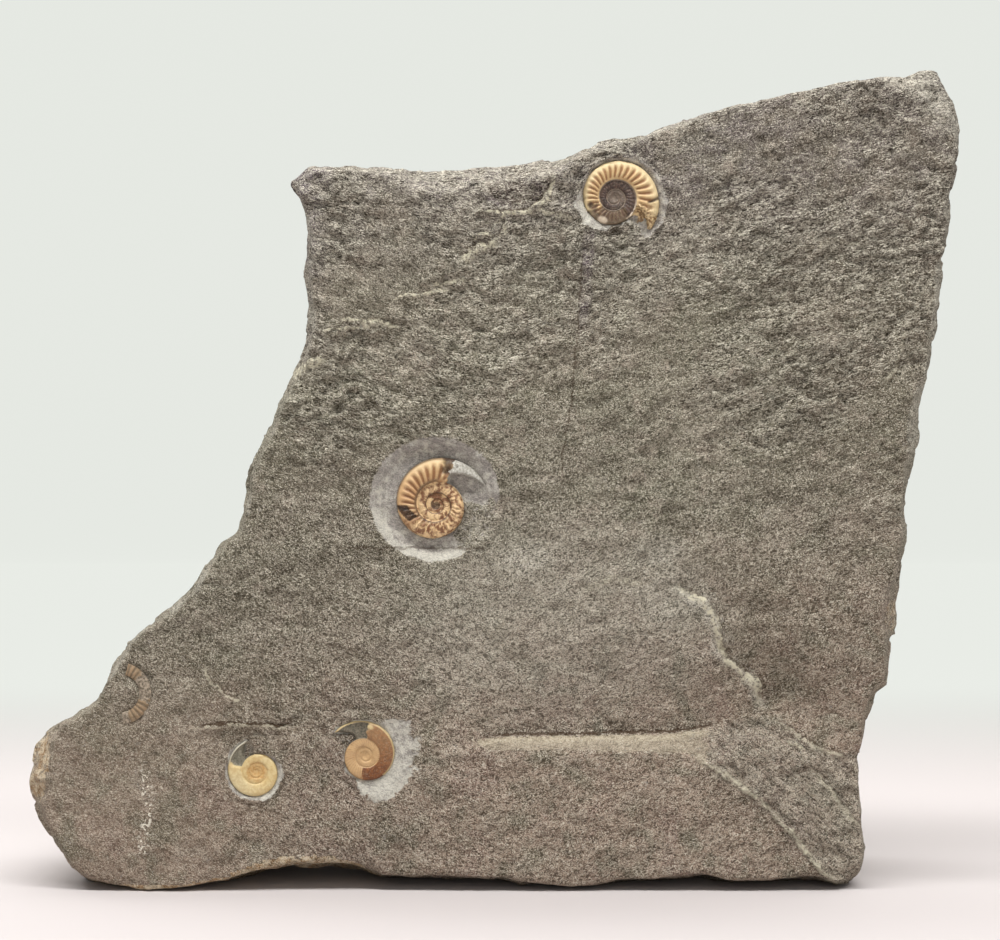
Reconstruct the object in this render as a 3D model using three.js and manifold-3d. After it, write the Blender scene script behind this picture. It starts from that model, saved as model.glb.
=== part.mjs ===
// A broken slab of grey limestone that stands on its lower edge, with five small coiled ammonites
// in its front face. Millimetres, +Z up, the front face looks along -Y, and the base lies on Z = 0.
import * as THREE from "three";
import { mergeVertices } from "three/addons/utils/BufferGeometryUtils.js";
import Module from "manifold-3d";

const wasm = await Module();
wasm.setup();

// Driving dimensions of the stone
const THICK_AT_BASE = 62;
const THICK_AT_TOP = 46;
const STONE_HEIGHT = 240;
const FRONT_OVERRUN = 14; // how far the rough block reaches in front of the finished face
const EDGE_DEPTH = 10; // depth at which the stone is widest, behind the chipped front edge
const SPAN = { left: -140, right: 140, bottom: -6, top: 246 }; // reach of the grids of the broad faces
const FRONT_COLUMNS = 45;
const FRONT_ROWS = [6, 3, 10, 21]; // below the ledge, on it, above it and over the upper half
const UPPER_HALF = 94;
const BACK_COLUMNS = 16;
const BACK_ROWS = 15;
const BASE_BAND = 14; // height of the band at the bottom that is drawn down to a flat base
const BASE_DRAW = 5;

// The stone's outline from the front, clockwise from the top left: across, up, width of the chipped edge
const OUTLINE = [
  [-60, 207.5, 3], [-55, 212, 3], [-40, 212, 3], [-29, 211.5, 4], [-26, 210.5, 7], [-10, 211.5, 8],
  [5, 212.5, 8], [18, 214.5, 6], [30, 219, 4], [42, 221, 3], [58, 226.5, 3], [72, 230.5, 2],
  [86, 233.5, 2], [98, 236, 2], [113, 239, 3], [120, 239, 6], [125, 240, 10], [131, 240, 10],
  [134, 234, 10], [136, 225, 5], [136, 217, 3], [133.5, 204, 3], [134, 199, 4], [132.5, 188, 3],
  [131, 184, 3], [130.5, 175, 3], [129, 164, 3], [127, 150, 3], [124.5, 138.5, 5], [124.8, 133, 6],
  [122, 121.5, 4], [120.5, 115, 3], [120.8, 104, 3], [119, 91, 3], [118.5, 80, 6], [117.3, 74.8, 6],
  [115.5, 73, 3], [116.4, 69, 3], [116, 63, 3], [114.5, 59, 3], [112.5, 58, 3], [109, 49, 4],
  [108, 40, 3], [106.8, 39.3, 2], [106.8, 30, 3], [107.8, 15, 3], [108.3, 9, 3], [106.5, 3.5, 3],
  [102, 0.5, 2], [93, 3, 2], [80, 1.5, 2], [69, 1.2, 2], [61, 3.2, 2], [47, 2, 2], [36, 1.8, 2],
  [30, 0.3, 2], [22, -0.7, 2], [10, 0.6, 2], [0, 2, 2], [-20, 3, 2], [-34, 3, 2], [-42, 6, 3],
  [-61, 6.2, 3], [-72, 4.6, 2], [-80, 2, 2], [-92, 0, 2], [-106, -1.2, 2], [-115, 0.3, 3],
  [-122, 2.2, 3], [-127, 7, 3], [-133, 18, 3], [-135, 24, 4], [-136, 30, 7], [-134.5, 41, 7],
  [-131, 46.5, 6], [-125, 49, 2], [-117.5, 54.5, 2], [-116, 59, 2], [-108.5, 72, 3], [-103, 77, 3],
  [-96, 82, 5], [-91, 86, 4], [-83.5, 98, 3], [-82, 100.5, 4], [-77, 103.5, 3], [-74.5, 114, 3],
  [-73.5, 121, 3], [-67, 135, 3], [-64, 143, 3], [-58.5, 154, 3], [-56.5, 160, 3], [-55, 170, 3],
  [-56.3, 182, 3], [-55.5, 192, 3], [-57, 199, 3],
];
const OUTLINE_CENTRE = [18, 108];

// The step across the lower right of the face: its foot and its crest as heights along the stone,
// and how deep the face is scooped out above the foot
const LEDGE_FOOT = [
  [-5, 44.5], [1, 45], [51, 45.5], [61, 47], [68, 48.5], [79, 50], [85, 48.5], [91, 43], [97, 39.5],
];
const LEDGE_CREST = [
  [1, 40.5], [56, 40], [63, 33], [76, 26], [81, 20.5], [86, 14.5], [91, 8], [98, 0], [110, -14],
];
const LEDGE_DEPTH = [[-24, 0], [-6, 1.5], [6, 4], [25, 5], [60, 6], [80, 6], [110, 4.5]];
const LEDGE_SCOOP = 34; // height over which the scoop fades out above the foot

// The fracture that climbs to the left from the ledge: its place across at each height, and its drop
const FRACTURE = [
  [50, 79.5], [54, 78], [61, 77], [63, 73], [65, 69], [69, 66.5], [77, 65.5], [84, 62], [90, 49],
];
const FRACTURE_DEPTH = [[44, 0], [54, 2], [80, 2], [94, 0]];
const FRACTURE_WIDTH = 4;
const FRACTURE_REACH = 45; // distance over which the dropped side comes back to the face
const FRACTURE_COLUMN = 65; // the grid column that leans along the fracture, and how far it takes others along
const FRACTURE_LEAN = 34;

// Driving dimensions of the fossils
const GAP = 0.3; // clearance between a fossil and the stone around it
const PLUG = 1; // thickness of a fossil below its visible relief
const OVERLAP = 0.08; // share of the inner whorl's radius that the next whorl covers
const RIB_HEIGHT = 0.14; // rib relief as a share of the whorl's half thickness
const STRANDS = [0, 0.22, 0.5, 0.8, 1]; // lines along a whorl, from its seam to its outer rim
const HOLLOW_SIDES = 32;
const HOLLOW_ROUND = 0.24; // share of a turn over which a hollow closes in past the open end

// Each fossil: centre of the coil, radius and direction at the open end, growth per turn, ribs per turn,
// half thickness as a share of the radius, height that wear has left, depth and flare of its hollow
const AMMONITES = [
  {
    name: "ammonite_top", at: [34.4, 201.8], radius: 14.3, aperture: -50, clockwise: true,
    growth: 2, turns: 2.25, ribs: 32, samples: 64, breadth: 0.24, wear: 8, sink: 3.4, flare: 2.5,
  },
  {
    name: "ammonite_middle", at: [-17.6, 112.3], radius: 16.6, aperture: -10, clockwise: true,
    growth: 2, turns: 2.25, ribs: 32, samples: 64, breadth: 0.24, wear: 8, sink: 3.6, flare: 5,
  },
  {
    name: "ammonite_lower_left", at: [-69.9, 34.6], radius: 9.7, aperture: 100, clockwise: true,
    growth: 1.9, turns: 2, ribs: 0, samples: 28, breadth: 0.24, wear: 1.5, sink: 2.3, flare: 2.2,
  },
  {
    name: "ammonite_lower_middle", at: [-38.2, 39.4], radius: 11.4, aperture: 150, clockwise: false,
    growth: 2, turns: 2, ribs: 0, samples: 28, breadth: 0.24, wear: 1.6, sink: 2.4, flare: 5,
  },
];
const WORN_ARC = {
  name: "ammonite_worn_edge", at: [-109.6, 57.4], inner: 5.5, outer: 9, from: -85, to: 75,
  ribs: 11, crest: 0.8, sink: 0.9,
};

// Finishes
const STONE = new THREE.MeshStandardMaterial({ color: 0x7d766a, roughness: 0.95, metalness: 0 });
const SHELL = new THREE.MeshStandardMaterial({ color: 0xc49a5e, roughness: 0.45, metalness: 0 });

// Small tools
const mix = (a, b, share) => a + (b - a) * share;
const clamp = (value) => Math.min(1, Math.max(0, value));
const ease = (value) => clamp(value) ** 2 * (3 - 2 * clamp(value));

// Reads a line of [place, value] points at any place along it
function along(line, place) {
  const next = line.findIndex(([at]) => at > place);
  if (next === 0) return line[0][1];
  if (next < 0) return line[line.length - 1][1];
  const [before, after] = [line[next - 1], line[next]];
  return mix(before[1], after[1], (place - before[0]) / (after[0] - before[0]));
}

// Smooth lumps of about the given size, between -1 and 1
function lumps(across, up, size, phase) {
  const [u, v] = [across / size, up / size];
  const first = Math.sin(2.1 * u + 0.7 * v + phase);
  const second = Math.sin(1.9 * v - 0.8 * u + 2.3 * phase);
  const third = Math.sin(3.7 * u + 3.1 * v + 1.7 * phase);
  return 0.45 * first + 0.35 * second + 0.2 * third;
}

function geometryOf(points, triangles) {
  const geometry = new THREE.BufferGeometry();
  geometry.setAttribute("position", new THREE.Float32BufferAttribute(points.flat(), 3));
  geometry.setIndex(triangles.flat());
  return geometry;
}

function solidOf(geometry) {
  const bare = geometry.clone();
  bare.deleteAttribute("normal");
  bare.deleteAttribute("uv");
  const merged = mergeVertices(bare, 1e-4);
  const mesh = new wasm.Mesh({
    numProp: 3,
    vertProperties: merged.attributes.position.array,
    triVerts: new Uint32Array(merged.index.array),
  });
  return new wasm.Manifold(mesh);
}

function geometryFrom(solid) {
  const { vertProperties, triVerts } = solid.getMesh();
  const geometry = new THREE.BufferGeometry();
  geometry.setAttribute("position", new THREE.BufferAttribute(vertProperties, 3));
  geometry.setIndex(new THREE.BufferAttribute(triVerts, 1));
  return geometry;
}

// Triangles between two loops or lines of vertices, given as their indices
function bridge(lower, upper, closed) {
  const triangles = [];
  const count = lower.length - (closed ? 0 : 1);
  for (let k = 0; k < count; k += 1) {
    const next = (k + 1) % lower.length;
    triangles.push([lower[k], lower[next], upper[next]], [lower[k], upper[next], upper[k]]);
  }
  return triangles;
}

// Triangles from one vertex to a loop or line of vertices
function fan(hub, rim, closed) {
  const count = rim.length - (closed ? 0 : 1);
  return Array.from({ length: count }, (_, k) => [hub, rim[k], rim[(k + 1) % rim.length]]);
}

const turned = (triangles) => triangles.map(([a, b, c]) => [a, c, b]);

// How far the front face stands forward of its mean plane
function relief(across, up) {
  const swell = 1.3 * lumps(across, up, 70, 0.4) + 0.6 * lumps(across, up, 24, 1.9);
  const grain = 0.6 * lumps(across + up, 1.6 * up, 13, 2.6) * ease(up / 140);
  const hackle = 0.5 * lumps(across, up, 9, 0.3) + grain;
  const [foot, crest] = [along(LEDGE_FOOT, across), along(LEDGE_CREST, across)];
  const depth = along(LEDGE_DEPTH, across);
  const above = 1 - ease((up - foot) / LEDGE_SCOOP);
  const ledge = -depth * (up > foot ? above : clamp((up - crest) / (foot - crest)));
  const past = across - along(FRACTURE, up);
  const drop = clamp(0.5 + past / FRACTURE_WIDTH) * (1 - ease(past / FRACTURE_REACH));
  return swell + hackle + ledge - along(FRACTURE_DEPTH, up) * drop;
}

const thickness = (up) => mix(THICK_AT_BASE, THICK_AT_TOP, clamp(up / STONE_HEIGHT));
const frontDepth = (across, up) => -relief(across, up);
const backDepth = (across, up) => thickness(up) + 2 * lumps(across, up, 42, 0.9) + lumps(across, up, 17, 2.2);

// Even steps from one place to another, with both ends
const steps = (from, to, count) => Array.from({ length: count + 1 }, (_, k) => mix(from, to, k / count));

// Heights of the front grid's rows at one place across: they follow the crest and the foot of the ledge
function rowHeights(across) {
  const crest = Math.max(SPAN.bottom + 1, along(LEDGE_CREST, across));
  const stops = [SPAN.bottom, crest, along(LEDGE_FOOT, across), UPPER_HALF, SPAN.top];
  const inner = FRONT_ROWS.flatMap((count, k) => steps(stops[k], stops[k + 1], count).slice(0, count));
  return [...inner, SPAN.top];
}

// Grid of the front face: the columns lean along the fracture and the rows follow the ledge
function frontGrid() {
  const columns = steps(SPAN.left, SPAN.right, FRONT_COLUMNS);
  return rowHeights(FRACTURE_COLUMN).map((level, row) => {
    return columns.map((column) => {
      const pull = clamp(1 - Math.abs(column - FRACTURE_COLUMN) / FRACTURE_LEAN);
      const inReach = ease((level - 40) / 12) * ease((110 - level) / 18);
      const across = column + (along(FRACTURE, level) - FRACTURE_COLUMN) * pull * inReach;
      return [across, rowHeights(across)[row]];
    });
  });
}

function backGrid() {
  const columns = steps(SPAN.left, SPAN.right, BACK_COLUMNS);
  return steps(SPAN.bottom, SPAN.top, BACK_ROWS).map((up) => columns.map((across) => [across, up]));
}

// A block with one broken face over a grid, closed by a flat side far away at the given depth
function facedSolid(grid, depth, far) {
  const points = [];
  const lines = grid.map((row) => row.map(([across, up]) => points.push([across, depth(across, up), up]) - 1));
  const triangles = [];
  lines.slice(1).forEach((line, k) => triangles.push(...bridge(lines[k], line, false)));
  const [right, top] = [lines[0].length - 1, lines.length - 1];
  const edge = [
    ...lines[0],
    ...lines.slice(1).map((line) => line[right]),
    ...lines[top].slice(0, right).reverse(),
    ...lines.slice(1, top).map((line) => line[0]).reverse(),
  ];
  const farEdge = edge.map((k) => points.push([points[k][0], far, points[k][2]]) - 1);
  const hub = points.push([0, far, STONE_HEIGHT / 2]) - 1;
  triangles.push(...bridge(farEdge, edge, true), ...turned(fan(hub, farEdge, true)));
  return solidOf(geometryOf(points, far > 0 ? triangles : turned(triangles)));
}

// The outline drawn towards its middle by a distance that may differ from point to point
function insetOutline(distance) {
  const [middleAcross, middleUp] = OUTLINE_CENTRE;
  return OUTLINE.map(([across, up], k) => {
    const [dx, dz] = [middleAcross - across, middleUp - up];
    const share = distance(k) / Math.hypot(dx, dz);
    return [across + dx * share, up + dz * share];
  });
}

// The stone's broken sides, longer than the stone at the front and at the back
function roughBlock() {
  const points = [];
  const loop = (outline, depth) => outline.map(([x, z], k) => points.push([x, depth(x, z, k), z]) - 1);
  const chipped = (k) => OUTLINE[k][2] * (1 + FRONT_OVERRUN / EDGE_DEPTH);
  const side = (share, inset, roughness) => {
    const ring = insetOutline((k) => inset + roughness * lumps(OUTLINE[k][0], OUTLINE[k][1], 9, share * 20));
    const based = ring.map(([x, z], k) => {
      return [x, z - (BASE_DRAW + inset) * (1 - ease(OUTLINE[k][1] / BASE_BAND))];
    });
    return loop(based, (x, z) => share * thickness(z));
  };
  const loops = [
    loop(insetOutline(chipped), () => -FRONT_OVERRUN),
    loop(insetOutline(() => 0), (x, z, k) => EDGE_DEPTH + 2 * lumps(x, z, 11, k)),
    side(0.42, 1, 1.4),
    side(0.78, 3.5, 2.2),
    side(1.25, 15, 3),
  ];
  const [x, z] = OUTLINE_CENTRE;
  const front = points.push([x, -FRONT_OVERRUN, z]) - 1;
  const back = points.push([x, 1.25 * THICK_AT_BASE, z]) - 1;
  const triangles = [...fan(front, loops[0], true), ...turned(fan(back, loops[loops.length - 1], true))];
  loops.slice(1).forEach((ring, k) => triangles.push(...bridge(ring, loops[k], true)));
  return solidOf(geometryOf(points, turned(triangles)));
}

// Everything above the surface that the stone stands on
function aboveBase() {
  const size = 4 * STONE_HEIGHT;
  return solidOf(new THREE.BoxGeometry(size, size, size).translate(0, 0, size / 2));
}

// Stands a shape that faces +Z on the front face, at a depth behind it
function setInFace(geometry, [across, up], sink) {
  return geometry.rotateX(Math.PI / 2).translate(across, sink - relief(across, up), up);
}

const spiralRadius = (fossil, turn) => fossil.radius * fossil.growth ** (turn - fossil.turns);

function planPoint(fossil, turn, radius) {
  const way = fossil.clockwise ? -1 : 1;
  const angle = THREE.MathUtils.degToRad(fossil.aperture + way * 360 * (turn - fossil.turns));
  return [radius * Math.cos(angle), radius * Math.sin(angle)];
}

// Height of the whorl over the coil's middle plane, at a share of the way from its seam to its rim
function whorlHeight(fossil, turn, share) {
  const outer = spiralRadius(fossil, turn);
  const seam = outer / fossil.growth;
  const inner = seam * (1 - OVERLAP);
  const offset = (mix(seam, outer, share) - (outer + inner) / 2) / ((outer - inner) / 2);
  const rib = fossil.ribs ? 1 + RIB_HEIGHT * Math.cos(2 * Math.PI * fossil.ribs * turn) : 1;
  const height = fossil.breadth * outer * rib * Math.sqrt(Math.max(0, 1 - offset ** 2));
  return fossil.wear * (1 - Math.exp(-height / fossil.wear));
}

// A coiled shell, facing +Z: one strip wound from the middle to the open end, on a plug with a flat underside
function ammonite(fossil) {
  const points = [];
  const { samples } = fossil;
  const last = Math.round(fossil.turns * samples);
  const strand = STRANDS.length - 1;
  const rows = [];
  for (let k = last; k >= 0; k -= 1) {
    const turn = k / samples;
    const outer = spiralRadius(fossil, turn);
    rows[k] = STRANDS.map((share, j) => {
      if (j === strand && k + samples <= last) return rows[k + samples][0];
      const plan = planPoint(fossil, turn, mix(outer / fossil.growth, outer, share));
      return points.push([...plan, PLUG + whorlHeight(fossil, turn, share)]) - 1;
    });
  }
  const middle = points.push([0, 0, PLUG + whorlHeight(fossil, 0, 0)]) - 1;
  const triangles = [];
  for (let k = 0; k < last; k += 1) triangles.push(...bridge(rows[k], rows[k + 1], false));
  const eye = rows.slice(0, samples + 1).map((row) => row[0]);
  triangles.push(...fan(middle, eye, false), ...fan(middle, [...rows[0]].reverse(), false));

  const rim = rows.slice(last - samples).map((row) => row[strand]);
  const foot = rim.map((k) => points.push([points[k][0], points[k][1], 0]) - 1);
  triangles.push(...bridge(foot, rim, false));
  const opening = [foot[0], ...rows[last], foot[samples]];
  triangles.push(...fan(opening[0], opening.slice(1), false));
  const behind = planPoint(fossil, fossil.turns - 0.25, 0.1 * fossil.radius);
  const hub = points.push([...behind, 0]) - 1;
  triangles.push(...turned(fan(hub, foot, true)));
  return geometryOf(points, fossil.clockwise ? turned(triangles) : triangles);
}

// The hollow that a coil sits in: it follows the coil's outline, is rounded off at the open end and
// widens towards the face
function hollow(fossil) {
  const points = [];
  const ring = (margin, height) => {
    return steps(0, 1, HOLLOW_SIDES).slice(1).map((share) => {
      const turn = fossil.turns - 1 + share;
      const rounded = mix(fossil.radius, spiralRadius(fossil, turn), ease(share / HOLLOW_ROUND));
      const plan = planPoint(fossil, turn, margin + Math.max(rounded, spiralRadius(fossil, turn)));
      return points.push([...plan, height]) - 1;
    });
  };
  const top = fossil.sink + FRONT_OVERRUN;
  const lower = ring(2 * GAP, 0);
  const upper = ring(2 * GAP + (fossil.flare * top) / fossil.sink, top);
  const hubs = [0, top].map((height) => points.push([0, 0, height]) - 1);
  const triangles = bridge(lower, upper, true);
  triangles.push(...turned(fan(hubs[0], lower, true)), ...fan(hubs[1], upper, true));
  return geometryOf(points, fossil.clockwise ? turned(triangles) : triangles);
}

// One arc of a whorl, facing +Z, grown by a margin at its sides and ends, from its underside to its
// shoulders and its ribbed crest
function whorlArc(arc, margin, shoulder, crest) {
  const last = 2 * arc.ribs;
  const middle = (arc.inner + arc.outer) / 2;
  const endMargin = THREE.MathUtils.radToDeg(margin / arc.inner);
  const points = [];
  const sections = [];
  for (let k = 0; k <= last; k += 1) {
    const angle = THREE.MathUtils.degToRad(mix(arc.from - endMargin, arc.to + endMargin, k / last));
    const place = ([radius, height]) => [radius * Math.cos(angle), radius * Math.sin(angle), height];
    const section = [
      [arc.inner - margin, -margin],
      [arc.outer + margin, -margin],
      [arc.outer + margin, shoulder],
      [middle, shoulder + crest * (k % 2 ? 1 : 0.5)],
      [arc.inner - margin, shoulder],
    ];
    sections.push(section.map((corner) => points.push(place(corner)) - 1));
  }
  const triangles = turned(fan(sections[0][0], sections[0].slice(1), false));
  sections.slice(1).forEach((section, k) => triangles.push(...bridge(sections[k], section, true)));
  triangles.push(...fan(sections[last][0], sections[last].slice(1), false));
  return geometryOf(points, turned(triangles));
}

function stoneSlab() {
  const front = facedSolid(frontGrid(), frontDepth, 2 * THICK_AT_BASE);
  const back = facedSolid(backGrid(), backDepth, -2 * THICK_AT_BASE);
  let stone = roughBlock().intersect(front).intersect(back).intersect(aboveBase());
  for (const fossil of AMMONITES) {
    stone = stone.subtract(solidOf(setInFace(hollow(fossil), fossil.at, fossil.sink)));
  }
  const slot = whorlArc(WORN_ARC, GAP, FRONT_OVERRUN, WORN_ARC.crest);
  return geometryFrom(stone.subtract(solidOf(setInFace(slot, WORN_ARC.at, WORN_ARC.sink))));
}

function piece(name, geometry, material) {
  const mesh = new THREE.Mesh(geometry, material);
  mesh.name = name;
  return mesh;
}

const slab = new THREE.Group();
slab.add(piece("stone_slab", stoneSlab(), STONE));
for (const fossil of AMMONITES) {
  const shell = setInFace(ammonite(fossil), fossil.at, fossil.sink - GAP);
  slab.add(piece(fossil.name, shell, SHELL));
}
const wornWhorl = whorlArc(WORN_ARC, 0, PLUG, WORN_ARC.crest);
slab.add(piece(WORN_ARC.name, setInFace(wornWhorl, WORN_ARC.at, WORN_ARC.sink), SHELL));

// The origin is under the middle of the whole piece, on its base
const box = new THREE.Box3().setFromObject(slab);
const middle = box.getCenter(new THREE.Vector3());
slab.position.set(-middle.x, -middle.y, -box.min.z);

export default slab;
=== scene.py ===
import math

import bpy
import numpy as np
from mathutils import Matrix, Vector


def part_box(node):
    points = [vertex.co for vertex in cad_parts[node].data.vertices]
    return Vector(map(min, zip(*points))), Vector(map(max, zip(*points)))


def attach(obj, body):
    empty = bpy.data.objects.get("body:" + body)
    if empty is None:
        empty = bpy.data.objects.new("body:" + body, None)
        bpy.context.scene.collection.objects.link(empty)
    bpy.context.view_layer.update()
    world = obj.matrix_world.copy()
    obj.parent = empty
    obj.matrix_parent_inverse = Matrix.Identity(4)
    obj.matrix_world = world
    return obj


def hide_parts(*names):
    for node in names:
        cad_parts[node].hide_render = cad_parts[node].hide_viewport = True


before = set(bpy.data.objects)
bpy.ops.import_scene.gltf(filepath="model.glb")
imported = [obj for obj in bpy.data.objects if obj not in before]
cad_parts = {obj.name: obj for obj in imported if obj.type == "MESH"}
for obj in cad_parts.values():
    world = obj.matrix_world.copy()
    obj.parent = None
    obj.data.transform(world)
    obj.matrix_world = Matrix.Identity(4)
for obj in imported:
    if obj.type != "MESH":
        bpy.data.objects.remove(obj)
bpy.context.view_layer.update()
MM = 0.001

# Lines of the stone's face, in millimetres: the ledge's foot and crest, the scoop above it and the fracture
LEDGE_FOOT = [
    (-5, 44.5), (1, 45), (51, 45.5), (61, 47), (68, 48.5), (79, 50), (85, 48.5), (91, 43), (97, 39.5),
]
LEDGE_CREST = [
    (1, 40.5), (56, 40), (63, 33), (76, 26), (81, 20.5), (86, 14.5), (91, 8), (98, 0), (110, -14),
]
LEDGE_DEPTH = [(-24, 0), (-6, 1.5), (6, 4), (25, 5), (60, 6), (80, 6), (110, 4.5)]
FRACTURE = [(50, 79.5), (54, 78), (61, 77), (63, 73), (65, 69), (69, 66.5), (77, 65.5), (84, 62), (90, 49)]
FRACTURE_DEPTH = [(44, 0), (54, 2), (80, 2), (94, 0)]

# The coils: centre, radius and direction at the open end, way of turning, growth per turn, number of turns
# and of ribs, thickness, how flat it is worn, depth in the stone, and depth and width of the dish round it
COILS = {
    "ammonite_top": dict(
        at=(34.4, 201.8), radius=14.3, aperture=-50, way=-1, growth=2.0, turns=3.4, ribs=31, breadth=0.24,
        wear=8.0, sink=3.4, dish=1.4, flare=2.5),
    "ammonite_middle": dict(
        at=(-17.6, 112.3), radius=16.6, aperture=-10, way=-1, growth=2.0, turns=3.4, ribs=31, breadth=0.24,
        wear=8.0, sink=3.6, dish=2.8, flare=5.0),
    "ammonite_lower_left": dict(
        at=(-69.9, 34.6), radius=9.7, aperture=100, way=-1, growth=1.9, turns=3.2, ribs=0, breadth=0.24,
        wear=1.5, sink=2.3, dish=0.6, flare=2.2),
    "ammonite_lower_middle": dict(
        at=(-38.2, 39.4), radius=11.4, aperture=150, way=1, growth=2.0, turns=3.2, ribs=0, breadth=0.24,
        wear=1.6, sink=2.4, dish=0.9, flare=5.0),
}
# Where the end of a coil is gone: from which share of its last turn, up to which, and from how far across
LOST = {
    "ammonite_top": (0.09, 0.015, 0.1),
    "ammonite_middle": (0.215, 0.06, 0.42),
    "ammonite_lower_left": (0.1, 0.01, 0.3),
    "ammonite_lower_middle": (0.1, 0.01, 0.3),
}
# The ragged line of the fracture on the face
TORN = [(50, 91), (55, 87.5), (61, 85), (64.5, 80), (65.5, 74), (67.5, 67.5), (73, 63.5), (77, 60), (79, 51)]
# Clearance between a coil and the stone, thickness of the plug under its relief, how far a whorl covers the
# one before it, and how square its section is
GAP = 0.3
PLUG = 1.0
OVERLAP = 0.08
SQUARENESS = 2.3
# The dense stone: size of a voxel, depth behind the face from which it is coarser, share of triangles kept
VOXEL = 0.92
COARSE_FROM = 13
COARSE_SHARE = 0.5
# Depths behind the face between which the look of the face ends
FACE_FADE = (5, 13)
# The fan in which the hackle sweeps down from both sides: its middle, slope and squared roundness
FAN_MIDDLE = -3
FAN_SLOPE = 0.26
FAN_ROUND = 225
# Half the number of one-millimetre columns in which the lowest edge of the face is looked for
HALF_COLUMNS = 200
FAR = 1e9


# Number tools
def ease(v, low=0.0, high=1.0):
    t = np.clip((np.asarray(v, float) - low) / (high - low), 0, 1)
    return t * t * (3 - 2 * t)


def band(v, from_low, from_high, to_low, to_high):
    """A rise from 0 to 1 between the first two values and a fall back to 0 between the last two."""
    return ease(v, from_low, from_high) * (1 - ease(v, to_low, to_high))


def spot(x, z, at, size, low, high):
    """An oval spot: 1 in its middle, falling to 0 between two shares of its size."""
    return 1 - ease(np.hypot((x - at[0]) / size[0], (z - at[1]) / size[1]), low, high)


def along(line, place):
    places, values = zip(*line)
    return np.interp(place, places, values)


def hashed(cell, seed):
    h = (cell[..., 0] * 374761393 + cell[..., 1] * 668265263 + cell[..., 2] * 1440662683 + seed * 974634547)
    h = (h & 0xFFFFFFFF).astype(np.uint64)
    h = ((h ^ (h >> np.uint64(15))) * np.uint64(2246822519)) & np.uint64(0xFFFFFFFF)
    h = ((h ^ (h >> np.uint64(13))) * np.uint64(3266489917)) & np.uint64(0xFFFFFFFF)
    return (h ^ (h >> np.uint64(16))).astype(float) / 4294967295.0


def noise(p, seed=0):
    """Smooth gradient noise, about -1 to 1, with features about one unit across."""
    cell = np.floor(p).astype(np.int64)
    f = p - cell
    u = f * f * f * (f * (f * 6 - 15) + 10)
    total = np.zeros(len(p))
    for corner in np.ndindex(2, 2, 2):
        at = cell + np.array(corner)
        gradient = np.stack([hashed(at, seed + 17 * k) * 2 - 1 for k in range(3)], axis=-1)
        weight = np.prod(np.where(np.array(corner) == 1, u, 1 - u), axis=-1)
        total += weight * ((f - np.array(corner)) * gradient).sum(axis=-1)
    return total * 1.6


def fractal(p, octaves=3, seed=0, gain=0.5):
    return sum(noise(p * 2.03**k + 7.1 * k, seed + 31 * k) * gain**k for k in range(octaves))


def chips(p, seed=0):
    """Flat tilted facets, about one unit across, between about -1 and 1."""
    cell = np.floor(p).astype(np.int64)
    best = np.full(len(p), FAR)
    value = np.zeros(len(p))
    for step in np.ndindex(3, 3, 3):
        at = cell + np.array(step) - 1
        centre = at + np.stack([hashed(at, seed + k) for k in range(3)], axis=-1)
        away = ((p - centre) ** 2).sum(axis=-1)
        tilt = np.stack([hashed(at, seed + 5 + k) - 0.5 for k in range(3)], axis=-1)
        here = hashed(at, seed + 11) - 0.5 + 1.6 * ((p - centre) * tilt).sum(axis=-1)
        value = np.where(away < best, here, value)
        best = np.minimum(best, away)
    return value


def shingles(v):
    """Overlapping scales: a slow rise and a sharp drop in each unit, about -0.5 to 0.5."""
    t = v - np.floor(v)
    return t - ease(t, 0.72, 1.0) - 0.36


def lumps(across, up, size, phase):
    u, v = across / size, up / size
    first = np.sin(2.1 * u + 0.7 * v + phase)
    second = np.sin(1.9 * v - 0.8 * u + 2.3 * phase)
    third = np.sin(3.7 * u + 3.1 * v + 1.7 * phase)
    return 0.45 * first + 0.35 * second + 0.2 * third


def relief(across, up):
    """How far the stone's face stands forward of its mean plane."""
    swell = 1.3 * lumps(across, up, 70, 0.4) + 0.6 * lumps(across, up, 24, 1.9)
    grain = 0.6 * lumps(across + up, 1.6 * up, 13, 2.6) * ease(up / 140)
    hackle = 0.5 * lumps(across, up, 9, 0.3) + grain
    foot, crest = along(LEDGE_FOOT, across), along(LEDGE_CREST, across)
    above = 1 - ease((up - foot) / 34)
    below = np.clip((up - crest) / (foot - crest), 0, 1)
    ledge = -along(LEDGE_DEPTH, across) * np.where(up > foot, above, below)
    past = across - along(FRACTURE, up)
    drop = np.clip(0.5 + past / 4, 0, 1) * (1 - ease(past / 45))
    return swell + hackle + ledge - along(FRACTURE_DEPTH, up) * drop


def polar(coil, across, up):
    """Distance from the coil's centre and the share of a turn before the open end, in that direction."""
    dx, dz = across - coil["at"][0], up - coil["at"][1]
    behind = coil["way"] * (math.radians(coil["aperture"]) - np.arctan2(dz, dx)) / (2 * math.pi)
    return np.hypot(dx, dz), np.mod(behind, 1.0)


def outside(coil, across, up):
    """Distance outside the coil's outline in each direction from its centre."""
    away, behind = polar(coil, across, up)
    return away - coil["radius"] * coil["growth"] ** -behind


def in_hollow(coil, across, up):
    """True inside the wide hollow that the solid stone has round the coil."""
    away, behind = polar(coil, across, up)
    rim = coil["radius"] * coil["growth"] ** -behind
    rounded = coil["radius"] + (rim - coil["radius"]) * ease((1 - behind) / 0.24)
    return away < np.maximum(rim, rounded) + coil["flare"] + 1.5


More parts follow.
